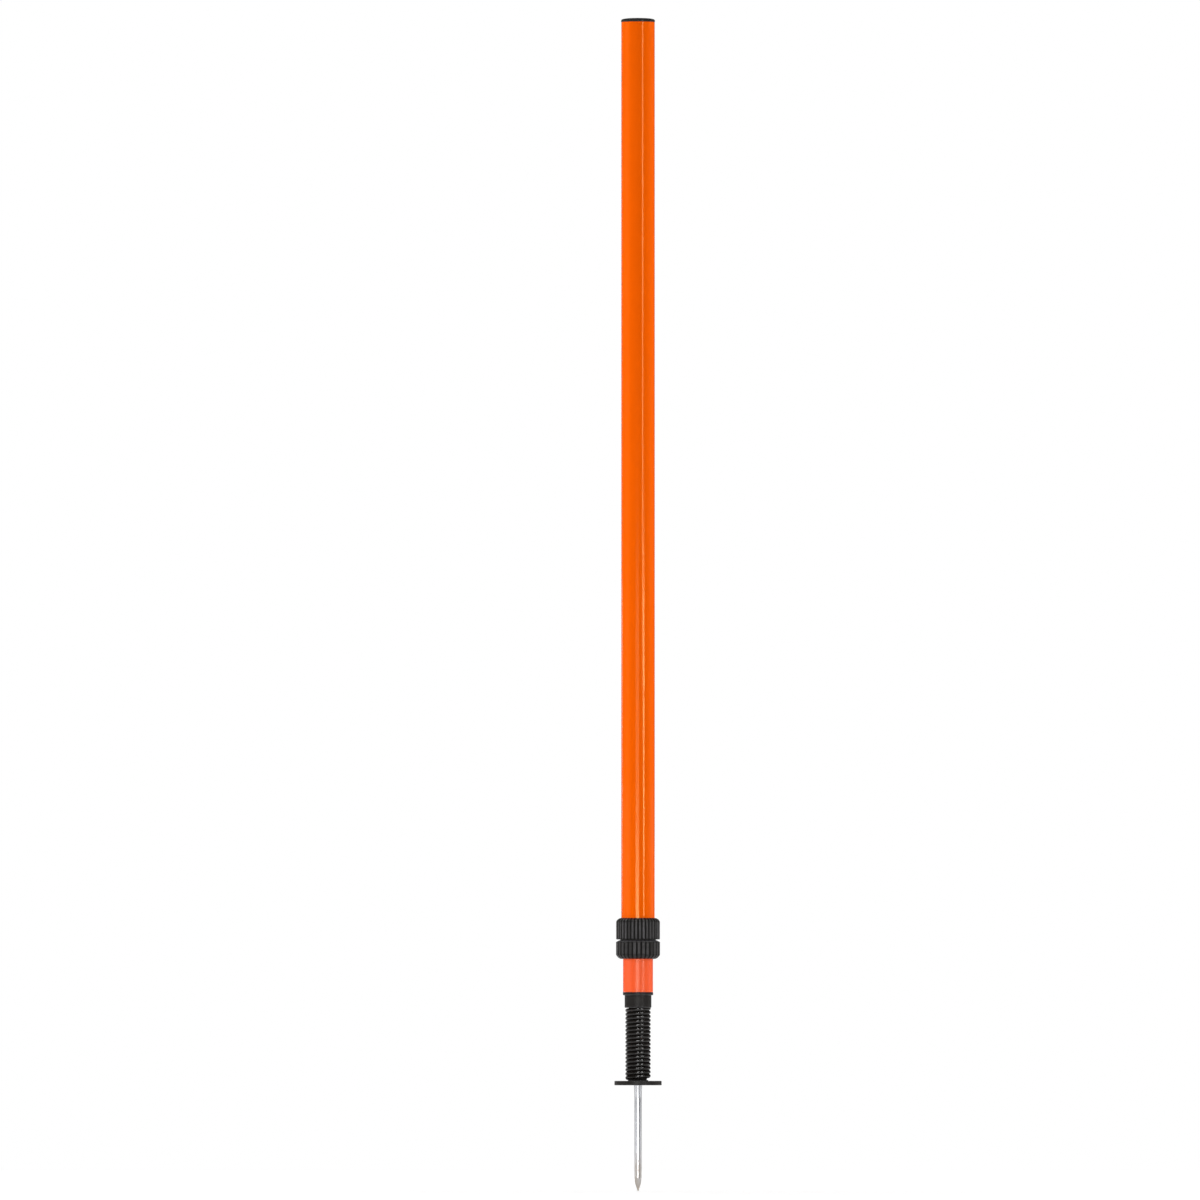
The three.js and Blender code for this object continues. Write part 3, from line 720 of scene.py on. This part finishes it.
MAKERS = {
    "upper_orange": lambda tints: tube_plastic("upper_orange_plastic", tints.upper_tube),
    "lower_orange": lambda tints: sliding_tube_plastic("lower_orange_plastic", tints.lower_tube),
    "black_plastic": lambda tints: moulded_plastic("moulded_black", tints.moulded, tints.rubbed, 0.4, 1900.0),
    "cap_plastic": lambda tints: cap_gloss("cap_black", tints.cap),
    "black_steel": lambda tints: coated_wire("coated_spring_wire", tints.spring),
    "zinc_steel": lambda tints: zinc_plate("bright_zinc", tints.zinc, tints.stain, tints.dull),
    "pale_acetal": lambda tints: pale_acetal("natural_acetal", tints.acetal),
}
made_finishes = {}


def finish_for(slot):
    """The material of a slot, made the first time that it is asked for."""
    if slot not in made_finishes:
        made_finishes[slot] = MAKERS[slot](bpy.context.scene.slalom_pole_colours)
    return made_finishes[slot]


def fit(piece, body, slot, *nodes):
    """Gives a piece its finish and its body, and hides the CAD nodes that it stands for."""
    piece.data.materials.append(finish_for(slot))
    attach(piece, body)
    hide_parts(*nodes)


def refinish(slot, *nodes):
    """Gives CAD nodes that stay a better finish."""
    for node in nodes:
        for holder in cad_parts[node].material_slots:
            holder.link = "OBJECT"
            holder.material = finish_for(slot)


# Operators


class SLALOMPOLE_OT_tubes(bpy.types.Operator):
    """Adds the upper and the lower tube"""

    bl_idname = "slalom_pole.tubes"
    bl_label = "Add Tubes"
    bl_options = UNDOABLE

    def execute(self, context):
        sizes = context.scene.slalom_pole_tubes
        edge = sizes.tube_edge
        for node, body, slot, diameter, wall in (
            ("upper_tube", "upper_pole", "upper_orange", sizes.upper_diameter, sizes.upper_wall),
            ("lower_tube", "lower_pole", "lower_orange", sizes.lower_diameter, sizes.lower_wall),
        ):
            low, top = heights(node)
            outer = diameter / 2
            inner = outer - wall
            corners = [(inner, low, edge), (outer, low, edge), (outer, top, edge), (inner, top, edge)]
            fit(turned(f"{node}_extrusion", rounded(corners), sides=192), body, slot, node)
        return {"FINISHED"}


class SLALOMPOLE_OT_cap(bpy.types.Operator):
    """Adds the domed cap, with its spigot in the upper tube"""

    bl_idname = "slalom_pole.cap"
    bl_label = "Add Cap"
    bl_options = UNDOABLE

    def execute(self, context):
        sizes = context.scene.slalom_pole_tubes
        low, top = heights("top_cap")
        seat = heights("upper_tube")[1]
        radius = sizes.upper_diameter / 2 + sizes.cap_overhang
        spigot = sizes.upper_diameter / 2 - sizes.upper_wall - sizes.fit
        hollow = spigot - sizes.cap_wall
        under = seat + 0.00005
        edge = seat + SEAT_GAP + sizes.cap_edge
        lower = rounded([
            (0, seat, 0), (hollow, seat, 0.0004), (hollow, low, SMALL), (spigot - LEAD_IN, low, SMALL),
            (spigot, low + LEAD_IN, SMALL), (spigot, under, 0.0001), (radius, under, 0.00025),
            (radius, edge, 0),
        ], looped=False)[:-1]
        dome = quarter(0, radius, edge, top - edge, sizes.cap_fullness, steps=40)[:-1]
        mark_radius, mark_depth = 0.0011, 0.00012  # the gate mark in the middle of the dome
        dome[:, 1] -= (dome[:, 0] < mark_radius) * mark_depth
        profile = np.concatenate([lower, dome, [(0, top - mark_depth)]])
        fit(turned("cap_dome", profile, looped=False), "upper_pole", "cap_plastic", "top_cap")
        return {"FINISHED"}


class SLALOMPOLE_OT_clutch(bpy.types.Operator):
    """Adds the ribbed collar with its threaded spigot, and the ribbed nut"""

    bl_idname = "slalom_pole.clutch"
    bl_label = "Add Clutch"
    bl_options = UNDOABLE

    def execute(self, context):
        self.add_collar(context.scene.slalom_pole_clutch, context.scene.slalom_pole_tubes)
        self.add_nut(context.scene.slalom_pole_clutch)
        refinish("pale_acetal", "clutch_collet", "glide_ring")
        return {"FINISHED"}

    def add_collar(self, sizes, tubes):
        """The collar: threaded spigot, ribbed outside with a domed shoulder, socket for the tube, bore."""
        low, top = heights("clutch_collar")
        base = low + sizes.spigot
        crest = sizes.collar_diameter / 2
        bore, core = sizes.bore, sizes.thread_radius
        socket = tubes.upper_diameter / 2 + 0.00006
        floor = base + 0.0024
        across, up, fullness = 0.0047, 0.0039, 1.65  # of the shoulder
        outside = rounded([
            (bore, floor, 0), (bore, low, 0.0003), (core - LEAD_IN, low, SMALL), (core, low + LEAD_IN, SMALL),
            (core, base, SMALL), (crest, base, 0.0007), (crest, base + 0.003, 0),
        ], looped=False)[:-1]
        shoulder = quarter(crest - across, across, top - up, up, fullness, steps=22)
        inside = rounded([
            (crest - across, top, 0), (socket, top, 0.00012), (socket, floor, 0.0003), (bore, floor, 0),
        ], looped=False)[1:-1]
        profile = refined(np.concatenate([outside, shoulder, inside]), LONGEST_SIDE)
        spigot = np.flatnonzero((profile[:, 1] < base) & (profile[:, 0] > core - 0.0001))
        first, beyond = spigot[0] + 1, spigot[-1]
        profile = walled(profile, core, low + 0.0009, base - 0.0005, first, beyond, rows=46)

        def ridge(radius, height, angle):
            """The thread, which fades in over its first millimetre and out over its last 0.6."""
            fade_in = np.clip((height - low - 0.0007) / 0.001, 0, 1)
            fade_out = np.clip((base - 0.0004 - height) / 0.0006, 0, 1)
            on_spigot = np.abs(radius - core) < 0.00005
            depth = on_spigot * fade_in * fade_out * sizes.thread_depth
            return depth * thread_ridge(height, angle, sizes.thread_pitch)

        piece = ribbed_ring(
            "collar_ring", profile, crest, sizes.collar_ribs, turned_by=0.0, bottom=base - TINY, top=top,
            cone=top, rub=0.8, ridge=ridge,
        )
        fit(piece, "upper_pole", "black_plastic", "clutch_collar")

    def add_nut(self, sizes):
        """The nut: ribbed outside with tapered underside and conical top edge, bore, inner cone, floor."""
        low, edge = heights("clutch_nut")
        crest = sizes.nut_diameter / 2
        top = edge - 0.0016
        bore = sizes.thread_radius + 0.0004
        hole = sizes.bore + 0.0002
        floor = low + 0.0014
        across, up, fullness = 0.0045, 0.0043, 1.5  # of the tapered underside
        underside = quarter(crest - across, across, low + up, -up, fullness, steps=22)[::-1]
        under = rounded([(hole, floor, 0), (hole, low, 0.0003), (crest - across, low, 0)], looped=False)[1:-1]
        upper = rounded([
            (crest, low + up, 0), (crest, top, 0.0008), (bore + 0.0004, edge, 0.0001), (bore, edge, 0.0001),
            (bore, low + 0.0083, 0.0003), (bore - 0.0016, floor, SMALL), (hole, floor, 0),
        ], looped=False)[1:]
        profile = refined(np.concatenate([under, underside, upper]), LONGEST_SIDE)
        piece = ribbed_ring(
            "nut_ring", profile, crest, sizes.nut_ribs, sizes.nut_turned, bottom=low - TINY, top=edge,
            cone=top, rub=0.55,
        )
        fit(piece, "nut", "black_plastic", "clutch_nut")


class SLALOMPOLE_OT_spring(bpy.types.Operator):
    """Adds the coil spring as two stretches of wire that meet behind its middle"""

    bl_idname = "slalom_pole.spring"
    bl_label = "Add Spring"
    bl_options = UNDOABLE

    def execute(self, context):
        sizes = context.scene.slalom_pole_spring
        base = context.scene.slalom_pole_base
        stub_bottom = heights("spring_plug")[0]
        hub_top = base.disc_thickness + base.hub_height
        plug_seat = stub_bottom + base.plug_stub
        span = (hub_top + sizes.ground, plug_seat - sizes.ground)
        lower = wire_piece("spring_wire_lower", sizes.first, sizes.split, span, free_start=True)
        upper = wire_piece("spring_wire_upper", sizes.split, sizes.last, span, free_end=True)
        for piece in (lower, upper):
            piece.data.materials.append(finish_for("black_steel"))
            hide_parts("spring")
        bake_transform(lower)
        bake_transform(upper)
        return {"FINISHED"}


class SLALOMPOLE_OT_plug(bpy.types.Operator):
    """Adds the plug, with its grooved stub in the spring and its barbed spigot in the lower tube"""

    bl_idname = "slalom_pole.plug"
    bl_label = "Add Plug"
    bl_options = UNDOABLE

    def execute(self, context):
        sizes = context.scene.slalom_pole_base
        tubes = context.scene.slalom_pole_tubes
        stub = context.scene.slalom_pole_spring.stub
        low, top = heights("spring_plug")
        seat = low + sizes.plug_stub
        under = seat + sizes.plug_body
        face = under + sizes.flange_thickness
        body, flange = sizes.plug_diameter / 2, sizes.flange_diameter / 2
        barb, barbs, barb_pitch, barb_length = 0.0001, 3, 0.007, 0.003  # the first is their height
        spigot = tubes.lower_diameter / 2 - tubes.lower_wall - tubes.fit - barb
        core = spigot - 0.002
        hollow = face - 0.008
        edge = sizes.moulded_edge
        corners = [
            (0, low, 0), (stub - LEAD_IN, low, SMALL), (stub, low + LEAD_IN, SMALL), (stub, seat, SMALL),
            (body, seat, 0.0008), (body, under, 0.0003), (flange, under, 0.0007),
            (flange, face + 0.0002, 0.0003), (spigot, face + 0.0002, SMALL),
        ]
        for step in face + barb_pitch * np.arange(1, barbs + 1):
            corners += [(spigot, step, barb), (spigot + barb, step, barb), (spigot, step + barb_length, barb)]
        corners += [
            (spigot, top - LEAD_IN, SMALL), (spigot - LEAD_IN, top, SMALL), (core, top, edge),
            (core, hollow, edge), (0, hollow, 0),
        ]
        profile = rounded(corners, looped=False)
        wall = np.argmax(profile[:, 1] > low + 0.0012)  # the first row above the stub's lower end
        profile = walled(profile, stub, low + 0.0013, seat - 0.0006, wall, wall, rows=60)
        piece = turned(
            "plug_moulding", profile, looped=False, rub=0.5,
            shape=lambda radius, height, angle: stub_radius(radius, height, angle, height < seat),
        )
        fit(piece, "lower_pole", "black_plastic", "spring_plug")
        refinish("pale_acetal", "tube_guide")
        return {"FINISHED"}


class SLALOMPOLE_OT_disc(bpy.types.Operator):
    """Adds the ground disc, with its shoulder and grooved stub in the spring"""

    bl_idname = "slalom_pole.disc"
    bl_label = "Add Ground Disc"
    bl_options = UNDOABLE

    def execute(self, context):
        sizes = context.scene.slalom_pole_base
        stub = context.scene.slalom_pole_spring.stub
        low, top = heights("ground_disc")
        radius, hub = sizes.disc_diameter / 2, sizes.hub_diameter / 2
        plate = low + sizes.disc_thickness
        hub_top = plate + sizes.hub_height
        recess = sizes.flare_diameter / 2 + 0.0002
        hole = sizes.shank_diameter / 2 + 0.0002
        rim, edge = sizes.disc_edge, sizes.moulded_edge
        profile = rounded([
            (recess, low + RECESS, SMALL), (recess, low, SMALL), (radius, low, rim), (radius, plate, rim),
            (hub, plate, edge), (hub, hub_top, SMALL), (stub, hub_top, SMALL), (stub, top - LEAD_IN, SMALL),
            (stub - LEAD_IN, top, SMALL), (hole, top, edge), (hole, low + RECESS, SMALL),
        ])
        wall = np.flatnonzero((np.abs(profile[:, 0] - stub) < TINY) & (profile[:, 1] > hub_top))
        first, last = wall[0], wall[-1]
        profile = walled(profile, stub, profile[first, 1], profile[last, 1], first, last + 1, rows=52)
        piece = turned(
            "disc_moulding", profile, sides=192, rub=0.3,
            shape=lambda radius, height, angle: stub_radius(radius, height, angle, height > hub_top),
        )
        fit(piece, "ground_end", "black_plastic", "ground_disc")
        return {"FINISHED"}


class SLALOMPOLE_OT_spike(bpy.types.Operator):
    """Adds the pointed spike with its threaded shank, and finishes its washer and nut"""

    bl_idname = "slalom_pole.spike"
    bl_label = "Add Spike"
    bl_options = UNDOABLE

    def execute(self, context):
        sizes = context.scene.slalom_pole_base
        low, top = heights("spike")
        rod, flare, shank = sizes.spike_diameter / 2, sizes.flare_diameter / 2, sizes.shank_diameter / 2
        blunt = 0.0004  # radius of the very point
        nose = quarter(0, blunt, low + blunt, -blunt, fullness=2, steps=6)[::-1][1:]
        point = [(blunt, low, 0), (rod, low + sizes.tip_length, 0.02), (rod, low + 0.02, 0)]
        tip = rounded(point, looped=False)[1:-1]
        share = np.linspace(0, 1, 14)
        widening = np.stack([rod + (flare - rod) * share**2, (share - 1) * sizes.flare_length], axis=1)
        head = RECESS - 0.0001
        neck = rounded([
            (flare, 0, 0), (flare, head, SMALL), (shank, head, SMALL), (shank, top - LEAD_IN, 0.0001),
            (shank - LEAD_IN, top, 0.0001), (0, top, 0),
        ], looped=False)[1:-1]
        rim = refined(np.concatenate([nose, tip, widening, neck]), longest=0.002)
        wall = np.flatnonzero((np.abs(rim[:, 0] - shank) < TINY) & (rim[:, 1] > 0.004))
        rim = walled(rim, shank, 0.0045, rim[wall[-1], 1], wall[0], wall[-1] + 1, rows=150)
        profile = np.concatenate([[(0, low)], rim, [(0, top)]])
        thread_start, thread_depth, thread_pitch = 0.006, 0.0005, 0.001

        def threaded(radius, height, angle):
            """The radius, less the thread that is cut into the shank above its plain neck."""
            cut = (np.abs(radius - shank) < TINY) & (height > thread_start)
            return radius - cut * thread_depth * (1 - thread_ridge(height, angle, thread_pitch))

        piece = turned("spike_rod", profile, sides=96, looped=False, shape=threaded)
        fit(piece, "ground_end", "zinc_steel", "spike")
        refinish("zinc_steel", "spike_washer", "spike_nut")
        return {"FINISHED"}


class SLALOMPOLE_OT_stage(bpy.types.Operator):
    """Adds the camera, the lamps, the surrounding light and the pale floor"""

    bl_idname = "slalom_pole.stage"
    bl_label = "Add Stage"
    bl_options = UNDOABLE

    def execute(self, context):
        settings = context.scene.slalom_pole_stage
        self.add_camera(context.scene, settings)
        self.add_floor(settings)
        self.add_surroundings(context.scene, settings)
        front, back = (0, 1.0), (180, 0.1)  # where each side lies, and how bright its middle lamps are
        for side, level in (front, back):
            self.add_lamps(side, level)
        self.add_spike_cards()
        context.scene.view_settings.view_transform = "Standard"
        return {"FINISHED"}

    def add_camera(self, scene, settings):
        """A long lens far off, a little above the ground, looking slightly up."""
        data = bpy.data.cameras.new("long_lens")
        distance = settings.camera_distance
        data.sensor_width = 36.0
        data.lens = data.sensor_width * distance / settings.frame_width
        data.clip_end = 5 * distance
        camera = added("camera", data)
        camera.location = (-settings.pole_offset, -distance, settings.eye_height)
        pitch = math.atan2(settings.frame_centre - settings.eye_height, distance)
        camera.rotation_euler = (math.pi / 2 + pitch, 0, 0)
        scene.camera = camera

    def add_floor(self, settings):
        """A pale floor, filled up to just white for the camera, more so farther off, so shadows show."""
        half, level = 4.0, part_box("spike")[0].z - settings.floor_gap
        mesh = bpy.data.meshes.new("floor")
        corners = [(-half, -half, level), (half, -half, level), (half, half, level), (-half, half, level)]
        mesh.from_pydata(corners, [], [(0, 1, 2, 3)])
        made = bpy.data.materials.new("pale_floor")
        tree, seen = emptied(made)
        lit = place(tree, "ShaderNodeBsdfDiffuse", {"Color": (0.88, 0.88, 0.88, 1)})
        at = place(tree, "ShaderNodeTexCoord").outputs["Object"]
        far = place(tree, "ShaderNodeVectorMath", {0: at}, operation="LENGTH").outputs["Value"]
        lack = ranged(tree, far, low=0.27, high=0.56, start=0.4, end=2.2)
        fill = reckoned(tree, "MULTIPLY", seen["Is Camera Ray"], lack)
        glow = place(tree, "ShaderNodeEmission", {"Color": (1, 1, 1, 1), "Strength": fill})
        both = place(tree, "ShaderNodeAddShader", {0: lit.outputs[0], 1: glow.outputs[0]})
        place(tree, "ShaderNodeOutputMaterial", {"Surface": both.outputs[0]})
        mesh.materials.append(made)
        added("floor", mesh)

    def add_surroundings(self, scene, settings):
        """White to the camera. Gloss and glass see it nearly black, and the lamps give their highlights."""
        scene.world = bpy.data.worlds.new("studio")
        tree, seen = emptied(scene.world)
        way = place(tree, "ShaderNodeTexCoord").outputs["Generated"]
        front = reckoned(tree, "MULTIPLY", place(tree, "ShaderNodeSeparateXYZ", {0: way}).outputs["Y"], -1.0)
        dim = ranged(tree, front, low=0.05, high=0.03, start=-0.95, end=0.3, interpolation_type="SMOOTHSTEP")
        gloss = reckoned(tree, "MAXIMUM", seen["Is Glossy Ray"], seen["Is Transmission Ray"])
        level = place(tree, "ShaderNodeMix", {0: gloss, 2: settings.ambient, 3: dim}).outputs[0]
        shown = place(tree, "ShaderNodeMix", {0: seen["Is Camera Ray"], 2: level, 3: 1.0}).outputs[0]
        back = place(tree, "ShaderNodeBackground", {"Color": (1, 1, 1, 1), "Strength": shown})
        place(tree, "ShaderNodeOutputWorld", {"Surface": back.outputs[0]})

    def add_lamps(self, side, level):
        """Soft boxes left and right, tall strips to the right of the front, and low and high panels.

        level is how bright the strips and the panels in the middle are, against those at the front.
        """
        faded = 0.15 + 0.85 * level
        # Name, bearing, height, distance, size, brightness, aim, unlit and, where it is narrow, spread
        for name, bearing, *lamp in (
            ("left_box", -82, 0.55, 2.2, (1.6, 2.2), 2.65, 0.5, "glossy"),
            ("right_box", 98, 0.55, 2.2, (1.5, 2.2), 2.4, 0.5, "glossy"),
            ("low_panel", -5, 0.125, 2.4, (0.95, 0.25), 14.0 * level, 0.125, None),
            ("strip", 32, 0.84, 2.0, (0.24, 0.84), 10.0 * level, 0.84, "diffuse"),
            ("low_strip", 40, 0.355, 1.95, (0.22, 0.35), 24.0 * level, 0.355, "diffuse"),
            ("middle_panel", -5, 0.4, 2.45, (0.95, 0.3), 3.0 * level, 0.4, "diffuse"),
            ("low_left", -104, 0.1, 1.6, (1.0, 0.4), 0.2, 0.1, "diffuse"),
            ("low_right", 112, 0.1, 1.6, (1.0, 0.4), 0.38, 0.1, "diffuse"),
            ("high_panel", -4, 2.1, 1.6, (0.45, 0.4), 0.75 * faded, 0.05, "diffuse", 24),
            ("high_panel", 47, 2.1, 1.6, (0.6, 0.4), 0.52 * faded, 0.05, "diffuse", 24),
        ):
            self.panel(name, side + bearing, *lamp)

    def add_spike_cards(self):
        """Low cards close round the spike, which its steel shows as bands."""
        height, distance, tall = -0.045, 0.5, 0.11
        for bearing, width, brightness in (
            (-150, 0.35, 0.3), (-108, 0.35, 0.32), (-68, 0.35, 0.36), (-9, 0.52, 1.15), (72, 0.35, 0.2),
            (115, 0.4, 0.15),
        ):
            self.panel("spike_card", bearing, height, distance, (width, tall), brightness, height, "diffuse")

    def panel(self, name, bearing, height, distance, size, brightness, aim, unlit, spread=180):
        """A flat lamp at a bearing from the front, turned to the height aim on the pole.

        brightness is its own, whatever its size. unlit is the kind of light, diffuse or glossy, that it gives
        none of, and spread the angle that its light keeps within.
        """
        data = bpy.data.lights.new(name, "AREA")
        data.shape = "RECTANGLE"
        data.size, data.size_y = size
        data.energy = brightness * math.pi * size[0] * size[1]
        data.spread = math.radians(spread)
        lamp = added(name, data)
        angle = math.radians(bearing)
        lamp.location = (math.sin(angle) * distance, -math.cos(angle) * distance, height)
        lamp.rotation_euler = (Vector((0, 0, aim)) - lamp.location).to_track_quat("-Z", "Y").to_euler()
        lamp.visible_camera = False
        lamp.visible_diffuse = unlit != "diffuse"
        lamp.visible_glossy = unlit != "glossy"


class SLALOMPOLE_PT_panel(bpy.types.Panel):
    """Lists the pieces of the slalom pole"""

    bl_label = "Slalom Pole"
    bl_idname = "SLALOMPOLE_PT_panel"
    bl_space_type = "VIEW_3D"
    bl_region_type = "UI"
    bl_category = "Slalom Pole"

    def draw(self, context):
        for operator in OPERATORS:
            self.layout.operator(operator.bl_idname)
        for name, group in SETTINGS.items():
            box = self.layout.box()
            box.label(text=group.__doc__)
            for key in group.__annotations__:
                box.prop(getattr(context.scene, name), key)


OPERATORS = (
    SLALOMPOLE_OT_stage,
    SLALOMPOLE_OT_tubes,
    SLALOMPOLE_OT_cap,
    SLALOMPOLE_OT_clutch,
    SLALOMPOLE_OT_spring,
    SLALOMPOLE_OT_plug,
    SLALOMPOLE_OT_disc,
    SLALOMPOLE_OT_spike,
)
SETTINGS = {
    "slalom_pole_tubes": SlalomPoleTubes,
    "slalom_pole_clutch": SlalomPoleClutch,
    "slalom_pole_spring": SlalomPoleSpring,
    "slalom_pole_base": SlalomPoleBase,
    "slalom_pole_colours": SlalomPoleColours,
    "slalom_pole_stage": SlalomPoleStage,
}


def register():
    """Registers the settings, the operators and the panel."""
    for name, group in SETTINGS.items():
        bpy.utils.register_class(group)
        setattr(bpy.types.Scene, name, PointerProperty(type=group))
    for item in (*OPERATORS, SLALOMPOLE_PT_panel):
        bpy.utils.register_class(item)


def unregister():
    """Takes them away again."""
    for item in (SLALOMPOLE_PT_panel, *reversed(OPERATORS)):
        bpy.utils.unregister_class(item)
    for name, group in SETTINGS.items():
        delattr(bpy.types.Scene, name)
        bpy.utils.unregister_class(group)


def main():
    """Builds the stage and all pieces."""
    register()
    bpy.ops.slalom_pole.stage()
    bpy.ops.slalom_pole.tubes()
    bpy.ops.slalom_pole.cap()
    bpy.ops.slalom_pole.clutch()
    bpy.ops.slalom_pole.spring()
    bpy.ops.slalom_pole.plug()
    bpy.ops.slalom_pole.disc()
    bpy.ops.slalom_pole.spike()


if __name__ == "__main__":
    main()
